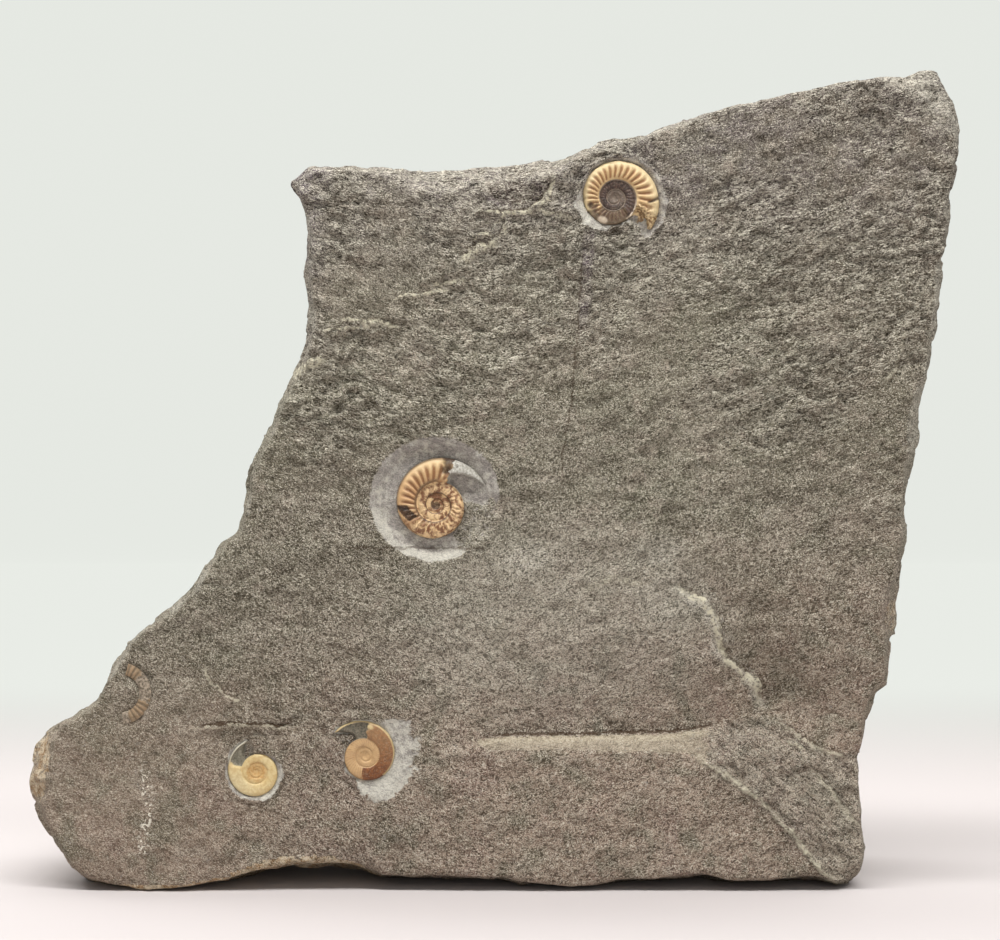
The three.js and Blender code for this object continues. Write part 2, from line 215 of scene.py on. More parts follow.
def lost(name, across, up):
    """Share of the coil's last whorl that is gone here, so that the stone runs on across it."""
    coil = COILS[name]
    away, behind = polar(coil, across, up)
    outer = coil["radius"] * coil["growth"] ** -behind
    share = (coil["growth"] * away / outer - 1) / (coil["growth"] - 1)
    start, tip, reach = LOST[name]
    line = reach + (1.15 - reach) * np.clip((start - behind) / (start - tip), 0, 1)
    return ease((line - share) / 0.14) * ease(share, -0.1, 0.02) * ease((start - behind) / 0.02)


TOP_COIL = COILS["ammonite_top"]
FACE_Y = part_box("ammonite_top")[1].y / MM - TOP_COIL["sink"] + GAP + float(relief(*np.array(TOP_COIL["at"])))


# Mesh tools
def add_masks(mesh, masks):
    """Named point values for the mesh's material."""
    for key, values in masks.items():
        layer = mesh.attributes.new(key, "FLOAT", "POINT")
        layer.data.foreach_set("value", np.asarray(values, np.float32))


def smooth_object(name, mesh):
    mesh.polygons.foreach_set("use_smooth", np.ones(len(mesh.polygons), bool))
    obj = bpy.data.objects.new(name, mesh)
    bpy.context.scene.collection.objects.link(obj)
    return obj


def make_object(name, points, faces, masks):
    """A mesh object from points in millimetres, with named point values for its material."""
    mesh = bpy.data.meshes.new(name)
    mesh.from_pydata((np.asarray(points) * MM).tolist(), [], faces)
    add_masks(mesh, masks)
    mesh.validate()
    return smooth_object(name, mesh)


def evaluated_mesh(obj):
    graph = bpy.context.evaluated_depsgraph_get()
    return bpy.data.meshes.new_from_object(obj.evaluated_get(graph))


def arrays(mesh):
    points = np.zeros(len(mesh.vertices) * 3)
    mesh.vertices.foreach_get("co", points)
    normals = np.zeros(len(mesh.vertices) * 3, np.float32)
    mesh.vertices.foreach_get("normal", normals)
    return points.reshape(-1, 3) / MM, normals.reshape(-1, 3).astype(float)


def smoothed(mesh, points, weight, rounds):
    edges = np.zeros(len(mesh.edges) * 2, np.int64)
    mesh.edges.foreach_get("vertices", edges)
    a, b = edges.reshape(-1, 2).T
    count = np.bincount(np.concatenate([a, b]), minlength=len(points))[:, None]
    for _ in range(rounds):
        total = np.zeros_like(points)
        for axis in range(3):
            ahead = np.bincount(a, points[b, axis], len(points))
            total[:, axis] = ahead + np.bincount(b, points[a, axis], len(points))
        points = points + 0.6 * weight[:, None] * (total / count - points)
    return points


# The stone
# Thin lines in the face: a dark line along each, partly a crack and partly painted shadow beside its step, a
# pale broken lip on its right-hand side as it runs, partly worn stone and partly painted highlight, the step
# between its two sides in millimetres, and how much wider than others it is
SEAMS = [
    dict(line=[(-10, 44.2), (2, 45), (30, 45.4), (52, 45.8), (62, 47.2), (72, 49.5)], dark=0.8),
    dict(line=[(-49, 99.8), (-30, 99.5), (-12, 99.6), (3, 99.3)], dark=0.5),
    dict(line=[(25.2, 194), (24.8, 187), (24.0, 172), (22.0, 146), (19.2, 128), (18.6, 114)],
         dark=0.55, width=0.75),
    dict(line=[(-90, 47.6), (-80, 48.6), (-70, 48.6), (-57, 47.4)], dark=0.9, pale=0.5, step=0.8),
    dict(line=[(-84.5, 66), (-83.5, 61.5), (-79, 57.5), (-73, 53.8)],
         dark=0.45, pale=0.6, step=0.45, width=0.8),
    dict(line=[(-6, 198.2), (2, 197.6), (9, 198), (13.5, 201.5), (15.5, 206), (16.5, 210)],
         dark=0.6, pale=1.6, step=0.9, width=1.2),
    dict(line=[(11, 199), (17, 197.6), (23, 195.6)], dark=0.3, pale=0.7, step=0.4, width=1.2),
    dict(line=[(-11, 183.6), (-7, 186.8), (-4.5, 188.6), (0.6, 189.4)],
         dark=0.4, pale=2.0, step=0.7, width=1.7),
    dict(line=[(-7, 190), (-4.5, 191.6), (-1.5, 191)], dark=0.2, pale=1.4, step=0.5, width=1.0),
    dict(line=[(0.4, 190), (1.8, 192), (2.7, 195)], dark=0.4, pale=1.0, step=0.4, width=0.7),
    dict(line=[(-31, 172.6), (-22, 174.0), (-13, 175.6)], dark=0.3, pale=1.1, step=0.4, width=0.9),
    dict(line=[(-20, 176.8), (-15, 177.4), (-8, 178)], dark=0.2, pale=1.1, step=0.4, width=0.9),
    dict(line=[(-47, 166.8), (-38, 166.4), (-27, 164.8)], dark=0.3, pale=1.1, step=0.5, width=1.0),
    dict(line=[(-52, 163), (-44, 164.2), (-36, 164.2)], dark=0.2, pale=1.0, step=0.3, width=0.8),
    dict(line=[(-66, 151.6), (-58, 152.6), (-50, 156.6)], dark=0.3, pale=1.4, step=0.5, width=2.2),
    dict(line=TORN, dark=0.45, pale=1.2, width=1.8),
    dict(line=[(101, -2), (92, 8), (88, 13), (80, 22), (71, 30), (64, 34.5), (56, 40)],
         dark=0.2, pale=0.8, step=0.6, width=1.4),
    dict(line=[(80, 50.5), (87, 46.5), (93, 42), (104, 38)], dark=0.5, pale=0.5, step=0.4, width=1.2),
    dict(line=[(90, 38), (98, 29), (108, 16)], dark=0.35, pale=0.5, step=0.4),
    dict(line=[(85.5, 43.6), (88, 42.6), (90.5, 41)], pale=1.6, step=0.5, width=1.2),
    dict(line=[(120, 165), (117, 152), (112, 146)], dark=0.25, pale=0.35, step=0.4),
    dict(line=[(-78, 21), (-70, 23.6), (-60, 22)], dark=0.35),
    dict(line=[(88, 186), (98, 190), (109, 188)], dark=0.3, pale=0.3, step=0.4),
    dict(line=[(24, 88), (34, 92), (43, 90)], dark=0.15, pale=0.4, step=0.3, width=1.6),
]


def dense_stone():
    """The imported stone's shape as an even dense mesh, finest on its front."""
    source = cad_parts["stone_slab"]
    work = bpy.data.objects.new("work", source.data.copy())
    bpy.context.scene.collection.objects.link(work)
    remesh = work.modifiers.new("voxels", "REMESH")
    remesh.mode = "VOXEL"
    remesh.voxel_size = VOXEL * MM
    dense = evaluated_mesh(work)
    work.modifiers.clear()
    work.data = dense
    points, _ = arrays(dense)
    group = work.vertex_groups.new(name="coarse")
    coarse = np.nonzero(points[:, 1] - FACE_Y > COARSE_FROM)[0]
    group.add(coarse.tolist(), 1.0, "REPLACE")
    decimate = work.modifiers.new("coarse", "DECIMATE")
    decimate.ratio = COARSE_SHARE
    decimate.vertex_group = "coarse"
    mesh = evaluated_mesh(work)
    mesh.materials.clear()
    bpy.data.objects.remove(work)
    return mesh


def signed_distance(x, z, line):
    """Distance to a line, positive on its left-hand side, and how far along it the nearest point is."""
    best, side, place = np.full(len(x), FAR), np.zeros(len(x)), np.zeros(len(x))
    lengths = [math.hypot(b[0] - a[0], b[1] - a[1]) for a, b in zip(line, line[1:])]
    before = 0.0
    for (x0, z0), (x1, z1), length in zip(line, line[1:], lengths):
        dx, dz = (x1 - x0) / length, (z1 - z0) / length
        t = np.clip((x - x0) * dx + (z - z0) * dz, 0, length)
        away = np.hypot(x - x0 - t * dx, z - z0 - t * dz)
        nearer = away < best
        side = np.where(nearer, np.sign(dx * (z - z0) - dz * (x - x0)), side)
        place = np.where(nearer, (before + t) / sum(lengths), place)
        best = np.minimum(best, away)
        before += length
    return best * side, place


def seam_values(x, z):
    """The nearest line's signed distance, its dark share (crack and painted shadow) and pale share (worn lip
    and painted highlight), and the height of its step.
    """
    distance = np.full(len(x), 6.0)
    dark, pale, step = np.zeros(len(x)), np.zeros(len(x)), np.zeros(len(x))
    for seam in SEAMS:
        signed, place = signed_distance(x, z, seam["line"])
        width = seam.get("width", 1.0)
        reach = 1 - ease(np.abs(signed) / width, 2.4, 3.4)
        taper = band(place, 0, 0.18, 0.82, 1) * reach
        nearer = np.abs(signed) / width < np.abs(distance)
        distance = np.where(nearer, signed / width, distance)
        dark = np.where(nearer, seam.get("dark", 0) * taper, dark)
        pale = np.where(nearer, seam.get("pale", 0) * taper, pale)
        raised = (1 - ease(-signed, 0, 2.6)) * (signed <= 0)
        lowered = (1 - ease(signed, 0, 2.2)) * (signed > 0)
        step += seam.get("step", 0) * taper * (raised - 0.6 * lowered)
    return distance, dark, pale, step


def dish_shares(name, x, z, wobble):
    """The abraded dish round a coil: shares of its pale ring and depth, how smooth and how white it is."""
    coil = COILS[name]
    out = outside(coil, x, z)
    angle = np.arctan2(z - coil["at"][1], x - coil["at"][0])

    def towards(degrees):
        return np.cos(angle - math.radians(degrees))

    if name == "ammonite_middle":
        inward = 19.0 * (1 - np.hypot((x + 17.8) / 19.5, (z - 114.0) / 18.5)) + 0.35 * wobble
        share = ease(inward, 0, 1.6) * (1 - 0.85 * ease(towards(-28) + 0.08 * wobble, 0.72, 0.9))
        bowl = ease(inward, 0, 5.5) * (1 - 0.45 * ease(towards(-25), 0.5, 1))
        return share, bowl, 0.9, ease(towards(-115), 0.1, 0.8) * ease(out, 3.5, 6.0)
    if name == "ammonite_top":
        reach = 0.3 + 1.7 * ease(towards(10), 0.2, 0.9) + 2.6 * ease(towards(214), 0.6, 0.95)
        smooth = 0.55
        white = 0.5 * ease(towards(205), 0.8, 0.98)
    elif name == "ammonite_lower_left":
        reach = 0.35 + 1.2 * ease(towards(-25), 0.3, 0.9) + 0.5 * ease(towards(-110), 0.5, 1)
        smooth = 0.7
        white = 0.4 * ease(towards(-30), 0.5, 0.9)
    else:
        reach = 0.3 + 6.2 * ease(towards(-22), -0.1, 0.55)
        smooth = 0.9
        white = 0.35 + 0.5 * ease(towards(-75), 0.3, 0.9)
    reach = np.maximum(reach * (1 + 0.25 * wobble) + 0.7 * wobble, 0.15)
    return ease(1.15 - out / reach, 0, 0.6), ease(1 - out / reach, 0, 1), smooth, white


def stone():
    mesh = dense_stone()
    points, normals = arrays(mesh)
    start = points.copy()
    x, y, z = points.T
    depth = y - FACE_Y + relief(x, z)
    front = 1 - ease(depth, *FACE_FADE)
    points = smoothed(mesh, points, 0.15 + 0.85 * front, 3)
    x, y, z = points.T
    flat = np.stack([x, np.zeros_like(x), z], axis=-1)

    # Broken surface: wavy hackle and flat flakes, strongest in the upper part
    upper = 0.3 + 0.7 * ease(z + 0.25 * np.abs(x - 20), 95, 185)
    fan = FAN_SLOPE * np.sqrt((x - FAN_MIDDLE) ** 2 + FAN_ROUND)
    swept = np.stack([x, 0 * x, z - fan], axis=-1)
    bent = swept + 3.0 * np.stack([fractal(flat / 11.0, 2, 71), 0 * x, fractal(flat / 11.0, 2, 83)], axis=-1)
    scales = shingles(swept[:, 2] / 5.6 + 1.4 * fractal(flat / 11.0, 3, 3))
    scales_2 = shingles(swept[:, 2] / 3.4 + 1.4 * fractal(flat / 6.5, 2, 9))
    flakes = chips(bent / np.array([9.0, 1, 4.4]), 13) + 0.6 * chips(bent / np.array([5.0, 1, 2.7]), 14)
    rough = 0.5 * fractal(flat / 9.0, 2, 23) + 0.36 * fractal(flat / 5.0, 2, 21)
    rough += 0.22 * noise(flat / 2.1, 40) + 0.18 * noise(flat / 1.35, 47)
    patchy = np.clip(0.85 + 0.5 * fractal(flat / 40.0, 2, 33), 0.5, 1.2)
    detail = rough * (1.0 + 0.4 * upper) + upper * patchy * (1.2 * scales + 0.7 * scales_2 + 1.1 * flakes)

    # Small steps, grooves and cracks
    jag_x = x + 0.9 * noise(flat / 4.5, 201) + 0.6 * noise(flat / 2.0, 203)
    jag_z = z + 0.9 * noise(flat / 4.5, 202) + 0.6 * noise(flat / 2.0, 204)
    distance, seam_crack_and_shadow, seam_lip_and_highlight, step = seam_values(0.4 * x + 0.6 * jag_x, 0.4 * z + 0.6 * jag_z)
    torn_x = jag_x + 2.2 * noise(flat / 6.0, 205)
    torn_z = jag_z + 2.2 * noise(flat / 6.0, 206)
    torn, torn_place = signed_distance(torn_x, torn_z, TORN)
    torn_share = band(torn_place, 0, 0.15, 0.92, 1)
    torn_drop = band(torn, -0.3, 0.6, 0.6, 16)
    step += torn_share * (0.6 * (1 - ease(np.abs(torn + 1.4), 0.3, 2.2)) - 1.2 * torn_drop)
    groove_x = np.interp(z, [160, 193], [25.0, 27.0])
    groove = (1 - ease(np.abs(x - groove_x), 0.8, 2.0)) * band(z, 157, 172, 190, 194)
    hollow = spot(x, z, (5, 203.2), (9.5, 4.4), 0.6, 1.15)
    pits = sum(1 - ease(np.hypot(x - a, z - b), 0.3, r) for a, b, r in [(-8.4, 70.7, 1.6), (1.3, 15.3, 1.3)])
    detail += step - 0.8 * groove - 1.6 * hollow - 0.9 * pits
    foot, crest = along(LEDGE_FOOT, x), along(LEDGE_CREST, x)
    facet = ease(x, 56, 66) * ease(foot - z, -1, 1.5) * ease(z - crest, -1, 1.5)
    streak = np.stack([(x * 0.62 + z * 0.78) / 2.4, 0 * x, (x * 0.78 - z * 0.62) / 16], axis=-1)
    detail += facet * (0.9 * noise(streak, 77) + 1.3 * chips(flat / 9.0, 78) + 0.4 * chips(flat / 3.2, 79))
    flaked = spot(x, z, (52, 86), (16, 13), 0.3, 1.0)
    detail += flaked * 0.6 * chips(swept / np.array([8.0, 1, 3.0]), 91)

    # Dishes round the fossils, abraded smooth
    halo, white, chamber = np.zeros(len(points)), np.zeros(len(points)), np.zeros(len(points))
    surface = y - detail * front
    wobble = fractal(flat / 3.0, 2, 61)
    for name, coil in COILS.items():
        share, bowl, smooth, brushed = dish_shares(name, x, z, wobble)
        out = outside(coil, x, z)
        gone = lost(name, x, z)
        inside = ease(-out, -0.3, 0.9) * (1 - gone)
        shallow = (depth < 6) & (normals[:, 1] < 0.3)
        near = (share + inside > 0) & (depth > -4) & shallow
        near |= in_hollow(coil, x, z) & (depth > 0.8) & shallow
        dish = coil["dish"] * bowl
        dish = dish + (coil["sink"] - dish) * inside
        kept = 1 - smooth * np.clip(share + inside, 0, 1)
        surface = np.where(near, FACE_Y - relief(x, z) - detail * kept + dish, surface)
        if not coil["ribs"]:
            chamber = np.maximum(chamber, gone * (out < 0.5) * near)
            share = share * (1 - 0.9 * gone)
        halo = np.maximum(halo, np.where(near, share, 0))
        white = np.maximum(white, np.where(near, brushed, 0))
    grey_pit = spot(x, z, (33.4, 191.6), (3.8, 1.8), 0.55, 1.1)
    points[:, 1] = surface + 1.2 * grey_pit

    # Broken sides and back
    solid = start / np.array([14.0, 10.0, 12.0])
    sides = 0.9 * chips(solid, 101) + 0.5 * chips(start / 6.0, 131) + 0.5 * fractal(start / 9.0, 3, 151)
    lifted = ease(depth, 1, 7) * ease(start[:, 2], 0.2, 2.0)
    bulge = 1 - ease(np.hypot((start[:, 0] + 136) / 9, (start[:, 2] - 34) / 26), 0.2, 1.0)
    points[:, 0] -= 1.8 * bulge
    points += normals * (sides * lifted)[:, None]
    points[:, 2] = np.maximum(points[:, 2], 0)
    points[start[:, 2] < 0.15, 2] = 0

    # Where the stone is pale, tan, purple or dark, painted highlights and painted shade included
    top_line = np.interp(x, [-30, -24, -8, 10, 20], [212, 207.5, 208.5, 210.5, 213])
    # Painted highlight: the bevels along the top edge and the chipped top right corner are paler where they
    # face up to the light
    top_chip = ease(z - top_line, -0.4, 0.8) * (x > -31) * (x < 20)
    corner = ease((x - 121) * 0.75 + (z - 230) * 0.65, -0.6, 0.8) * (z > 220)
    # Painted highlight: pale strips on the faces turned to the right near the right edge, in the bands where
    # they catch light
    lit = np.interp(z, [124, 129, 150, 154, 161, 165, 182, 187], [0.2, 1, 1, 0.2, 0.2, 1, 1, 0.2])
    right_edge_highlight = ease(normals[:, 0], 0.2, 0.5) * ease(x, 90, 100) * ease(z, 60, 80) * front * lit
    torn_lip = torn_share * band(torn, -4.0, -1.4, -0.2, 0.5)
    # Painted shadow: a dark band beside the fracture on its lowered, right-hand side below the step
    torn_step_shadow = torn_share * band(torn, 0.1, 0.7, 0.7, 4.5)
    crest_dark = band(crest - z, 0, 1, 1, 15) * ease(x, 52, 62)
    # Painted highlight: pale patches on the faces turned to the left, low on the left side, toward the light
    left_edge_highlight = ease(-normals[:, 0], 0.3, 0.7) * (x < -40) * ease(z, 52, 70) * front
    left_edge_highlight = left_edge_highlight * ease(noise(flat / 9, 5), 0, 0.4)
    # Painted shade: a dark band just above the ledge's foot, where the scoop above it turns under
    ledge_foot_shade = band(z - foot, 0, 0.6, 0.6, 6)
    ledge_foot_shade = ledge_foot_shade * band(x, -8, 4, 56, 70)
    patch = spot(x, z, (47.5, 99), (9, 5), 0.4, 1.2)
    patch_2 = spot(x, z, (9, 97), (8, 6), 0.4, 1.2)
    gloomy = np.maximum((1 - ease(x, -40, 0)) * (1 - ease(z, 120, 150)), ease(x, 60, 95) * ease(z, 50, 70))
    middle = spot(x, z, (18, 76), (60, 36), 0.4, 1.1)
    pale = 0.4 * top_chip + 0.4 * corner + 0.55 * right_edge_highlight + 0.6 * left_edge_highlight + 0.6 * torn_lip
    # Painted highlight: the up-facing facet right of the ledge and the flaked area beside the fracture are
    # made paler here
    pale += 0.25 * facet + 0.4 * patch + 0.3 * patch_2 + 0.25 * flaked + 0.36 * middle
    over_crest = jag_z - along(LEDGE_CREST, jag_x) - 0.7 - 0.9 * noise(flat / 11.0, 207)
    # Painted highlight: the ledge's up-facing strip between its crest and foot, painted lighter in the
    # material
    strip = np.minimum(along(LEDGE_FOOT, jag_x) - 0.3 - z, over_crest)
    strip = np.minimum(strip, np.minimum((x + 6) * 0.25, (62 - x) * 0.3))
    columns = np.round(x).astype(int) + HALF_COLUMNS
    lowest = np.full(2 * HALF_COLUMNS, FAR)
    np.minimum.at(lowest, columns[depth < 9], z[depth < 9])
    crust = np.interp(x, [-118, -108, -84, -74, -66, -52, -44, -34], [0.4, 1.9, 1.7, 2.0, 3.8, 3.6, 2.4, 0.3])
    tan = (z - lowest[columns] < crust) * 1.0 * (x < -34) * (x > -120)
    nose = spot(x, z, (-135, 36), (7, 14), 0.5, 1.1)
    notch = spot(x, z, (116, 80), (4, 6), 0.6, 1.2)
    tan = np.clip(tan + 0.6 * nose + 0.5 * notch, 0, 1)
    left_edge = (1 - ease(x, -64, -46)) * ease(z, 150, 165)
    purple = np.clip(0.5 * ease(z, 165, 215) + 1.0 * left_edge + 0.9 * hollow + groove, 0, 1)
    fleck_row, _ = signed_distance(x, z, [(-102.5, 34), (-101, 24), (-103, 12)])
    flecks = 1 - ease(np.abs(fleck_row), 0.6, 2.4)
    dark = 0.5 * ledge_foot_shade + 0.35 * torn_step_shadow + 0.32 * crest_dark + 0.5 * chamber + 0.25 * gloomy
    # Painted shade: the dark over the hollow under the top edge, the groove, the two pits and the grey pit
    # stands for shade in these recesses
    dark += 0.15 * left_edge + 0.7 * hollow + 0.35 * groove + 0.8 * pits + 0.75 * grey_pit
    add_masks(mesh, {
        "halo": halo,
        "pale": np.clip(pale, 0, 1) * front,
        "tan": tan,
        "purple": purple,
        "strip": np.where(front > 0.5, np.clip(strip, -5, 5), -5),
        "facet": facet * front,
        "fan": fan,
        "ledge_crown_highlight": np.clip(foot - 0.3 - z, -5, 5),
        "white": white,
        "dark": np.clip(dark, 0, 1) * front,
        "warm": 1 - ease(z - 0.2 * (x + 60), 15, 95),
        "hackle": upper * patchy,
        "quiet": (1 - ease(x, -90, -50)) * (1 - ease(z, 40, 80)),
        "seam": distance,
        "seam_crack_and_shadow": seam_crack_and_shadow * front,
        "seam_lip_and_highlight": seam_lip_and_highlight * front,
        "flecks": flecks * front,
    })
    mesh.vertices.foreach_set("co", (points * MM).ravel())
    mesh.update()
    return smooth_object("stone", mesh)


# The coils
def whorl(coil, turn, share):
    """Height of one whorl over the plug, and its rib phase, at a share of the way from seam to rim."""
    outer = coil["radius"] * coil["growth"] ** (turn - coil["turns"])
    seam = outer / coil["growth"]
    inner = seam * (1 - OVERLAP)
    place = seam + (outer - seam) * share
    offset = (place - (outer + inner) / 2) / ((outer - inner) / 2)
    body = np.maximum(0, 1 - np.abs(offset) ** SQUARENESS) ** (1 / SQUARENESS)
    lean = 0.012 * (share - 0.5) ** 2 * 4
    crest = np.zeros_like(offset)
    if coil["ribs"]:
        crest = 0.5 + 0.5 * np.cos(2 * math.pi * coil["ribs"] * (turn + lean))
    fade = band(share, 0.0, 0.14, 0.5, 0.98)
    fade = fade * np.where(turn > coil["turns"] - 1, 1.0, 0.4)
    height = coil["breadth"] * outer * body * (1 + fade * (0.26 * crest**1.2 - 0.14) * bool(coil["ribs"]))
    return coil["wear"] * (1 - np.exp(-height / coil["wear"])), (1 - crest) * fade


def coil_object(name, material, sculpt):
    coil = COILS[name]
    per_turn, across = (280, 20) if coil["ribs"] else (200, 14)
    last = int(round(coil["turns"] * per_turn))
    turn = np.arange(last + 1)[:, None] / per_turn
    share = np.linspace(0, 1, across + 1)[None, :]
    outer = coil["radius"] * coil["growth"] ** (turn - coil["turns"])
    radius = outer / coil["growth"] + (outer - outer / coil["growth"]) * share
    angle = math.radians(coil["aperture"]) + coil["way"] * 2 * math.pi * (turn - coil["turns"]) + 0 * share
    height, rib = whorl(coil, turn + 0 * share, share + 0 * turn)
    covered, _ = whorl(coil, turn + 1, (radius - outer) / (outer * coil["growth"] - outer))
    height = np.where(turn + 1 <= coil["turns"], np.maximum(height, np.nan_to_num(covered)), height)
    u, v = radius * np.cos(angle), radius * np.sin(angle)
    from_end = coil["turns"] - turn + 0 * share
    height, masks = sculpt(u, v, height, from_end, share + 0 * turn, rib)

    height = PLUG + height
    across_mm, up_mm = coil["at"][0] + u, coil["at"][1] + v
    gone = lost(name, across_mm, up_mm) * (from_end < 1)
    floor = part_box(name)[1].y / MM - FACE_Y + relief(across_mm, up_mm) - coil["dish"] - 0.5
    height = height + (np.maximum(floor, 0.05) - height) * ease(gone, 0.3, 0.7)

    # One strip from the middle outwards: the outer line of a turn is the inner line of the next
    index = np.zeros((last + 1, across + 1), np.int64)
    points, values = [], {key: [] for key in masks}

    def add(k, j):
        points.append((u[k, j], v[k, j], height[k, j]))
        for key in masks:
            values[key].append(masks[key][k, j])
        return len(points) - 1

    for k in range(last, -1, -1):
        for j in range(across + 1):
            index[k, j] = index[k + per_turn, 0] if j == across and k + per_turn <= last else add(k, j)

    def extra(point, like):
        points.append(point)
        for key in masks:
            values[key].append(values[key][like])
        return len(points) - 1

    faces = []
    for k in range(last):
        for j in range(across):
            faces.append([index[k, j], index[k, j + 1], index[k + 1, j + 1], index[k + 1, j]])
    eye = index[: per_turn + 1, 0]
    middle = extra((0, 0, height[0, 0]), index[0, 0])
    faces += [[middle, eye[k], eye[k + 1]] for k in range(per_turn)]
    start = index[0, ::-1]
    faces += [[middle, start[k], start[k + 1]] for k in range(across)]
    rim = index[last - per_turn:, across]
    foot = [extra((points[k][0], points[k][1], 0), k) for k in rim]
    faces += [[foot[k], foot[k + 1], rim[k + 1], rim[k]] for k in range(per_turn)]
    opening = [foot[0], *index[last], foot[-1]]
    faces += [[opening[0], opening[k], opening[k + 1]] for k in range(1, len(opening) - 1)]
    back = math.radians(coil["aperture"] - coil["way"] * 90)
    hub = extra((0.1 * coil["radius"] * math.cos(back), 0.1 * coil["radius"] * math.sin(back), 0), foot[0])
    faces += [[hub, foot[(k + 1) % len(foot)], foot[k]] for k in range(len(foot))]
    if coil["way"] < 0:
        faces = [face[::-1] for face in faces]

    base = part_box(name)[1].y / MM
    local = np.array(points)
    placed = np.stack([coil["at"][0] + local[:, 0], base - local[:, 2], coil["at"][1] + local[:, 1]], axis=-1)
    obj = make_object(name + "_shell", placed, [[int(k) for k in face] for face in faces], values)
    obj.data.materials.append(material)
    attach(obj, "root")
    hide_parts(name)
    return obj


def mottling(u, v, size, octaves, seed):
    """Uneven wear over a coil, in spots of a size in millimetres."""
    flat = np.stack([u, v, 0 * u], axis=-1).reshape(-1, 3)
    return fractal(flat / size, octaves, seed).reshape(u.shape)


def sculpt_top(u, v, height, from_end, share, groove):
    mottle = mottling(u, v, 1.1, 3, 5)
    coarse = mottling(u, v, 2.6, 2, 15)
    first = from_end < 1
    inner = ease(from_end - 0.05 * coarse, 0.93, 1.0)
    worn = ease(from_end - 0.10 * coarse, 0.66, 0.74) * first
    broken = 1 - ease(from_end + 0.04 * coarse, 0.07, 0.12)
    end = ease(from_end + 0.02 * mottle, 0.0, 0.05)
    gap = ease(1 - np.abs(from_end - 0.115 - 0.05 * (share - 0.5)) / 0.012, 0, 1) * ease(share, 0.4, 0.55)
    patch = (1 - ease(np.hypot((from_end - 0.81) / 0.035, (share - 0.8) / 0.3), 0.6, 1.1)) * first
    height = height - broken * (0.25 + 0.7 * ease(mottle, -0.2, 0.5)) * ease(share, 0.0, 0.3) - 0.7 * gap
    height = height * (0.35 + 0.65 * end) * (1 - 0.35 * worn)
    low = ease(-v / np.hypot(u, v), -0.2, 0.8)
    fragments = low * ease(mottle, -0.4, 0.2) * (from_end < 1.4)
    line = (from_end > 0.97) * ease(share, 0.82, 0.92) * (0.28 + 0.72 * fragments)
    eye = 1 - ease(np.hypot(u, v), 0.35, 0.8)
    cream = line + 0.8 * patch + 0.5 * eye + 0.12 * ease(from_end, 1.8, 2.2)
    masks = {
        "groove": groove * first,
        "dark": np.maximum(np.maximum(inner, 0.85 * worn), 0.9 * gap),
        "broken": broken,
        "cream": np.clip(cream, 0, 1),
        "stone": 0.75 * (1 - end),
        # Painted highlight: the outer part of the last whorl is lightened, standing for light on its smooth
        # rounded shoulder
        "rim": ease(share, 0.4, 0.9) * first,
    }
    return np.maximum(height + 0.05 * mottle, 0.0), masks


def sculpt_middle(u, v, height, from_end, share, groove):
    mottle = mottling(u, v, 1.3, 3, 25)
    first = from_end < 1
    mould = 1 - ease(from_end + 0.012 * mottle, 0.205, 0.222)
    kept = ease(share - 0.32 - 0.5 * (1 - ease(from_end, 0.0, 0.2)), -0.06, 0.1)
    broken = ease(from_end + 0.03 * mottle, 0.56, 0.66)
    notch = ease(1 - np.abs(from_end - 0.226 - 0.01 * mottle) / 0.036, 0, 0.8) * ease(share, 0.2, 0.42)
    past = from_end - 0.572
    patch = 1 - ease(np.maximum(np.abs(past) / 0.047, np.abs(share - 0.57 + 4.0 * past) / 0.3), 0.85, 1.0)
    patch = patch * first
    # Painted shade: a dark band along the outer edge of the whorl at the top, where its rounded edge turns
    # away from the light
    rim = ease(share, 0.86, 0.97) * first * band(from_end, 0.2, 0.24, 0.42, 0.58)
    height = height * (1 - mould * (1 - kept) * 0.85)
    height = height - 1.3 * notch - 0.3 * patch - 0.15 * broken * ease(mottle, 0.1, 0.6) * first
    hole = 1 - ease(np.hypot(u / 1.3, v / 0.7), 0.6, 1.1)
    line = (1 - ease(share, 0.04, 0.16)) * ease(from_end, 0.22, 0.3)
    masks = {
        "groove": groove * (1 - mould) * (1 - broken),
        "dark": np.clip(np.maximum(patch, 0.9 * notch) + 0.9 * hole + 0.75 * line + 0.8 * rim, 0, 1),
        "broken": np.maximum(broken, 1.0 * (from_end > 1)) * (1 - patch),
        "cream": 0 * u,
        "stone": mould,
        "rim": ease(share, 0.35, 0.75) * first * (1 - ease(from_end, 0.25, 0.55)),
    }
    return np.maximum(height + 0.04 * mottle, 0.0), masks


def sculpt_cream(u, v, height, from_end, share, _groove):
    mottle = mottling(u, v, 1.3, 3, 45)
    chamber = 1 - ease(from_end + 0.01 * mottle, 0.14, 0.20)
    wall = ease(share, 0.84, 0.94)
    height = height * (1 - chamber * (0.75 - 0.6 * wall)) + 0.03 * mottle
    masks = {
        "groove": 1 - ease(np.hypot(u, v) + 0.6 * mottle, 1.6, 4.6),
        "dark": 0 * u,
        "broken": 0.35 + 0 * u,
        "cream": chamber * wall,
        "stone": chamber * (1 - wall),
        "rim": band(from_end, 0.15, 0.3, 0.3, 0.6),
    }
    return np.maximum(height, 0.0), masks


